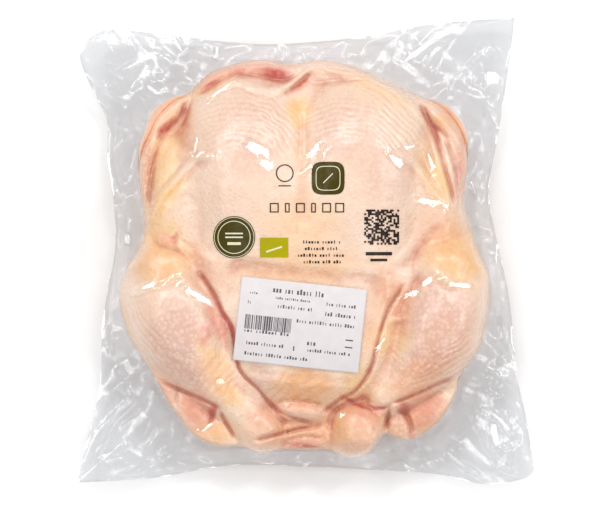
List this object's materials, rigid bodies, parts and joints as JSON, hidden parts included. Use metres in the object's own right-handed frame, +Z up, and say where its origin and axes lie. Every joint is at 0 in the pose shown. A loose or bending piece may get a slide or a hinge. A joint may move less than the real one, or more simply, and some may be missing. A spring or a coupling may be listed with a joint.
{
  "type": "whole raw chicken, vacuum-packed in a clear bag",
  "caption": "Whole raw chicken lying breast up in a clear vacuum bag with crumpled flat margins, legs folded in, and a plain paper label on the belly.",
  "frame": {"origin": "on the surface that the pack lies on, under the middle of the bag", "axes": "+Z up through the breast, +Y towards the neck, +X towards the right of the picture"},
  "size_m": [0.2196, 0.224, 0.0519],
  "materials": {
    "film": "gloss",
    "label_paper": "semi-matte"
  },
  "bodies": {
    "root": {"bagged_chicken": "film", "paper_label": "label_paper"}
  },
  "joints": []
}
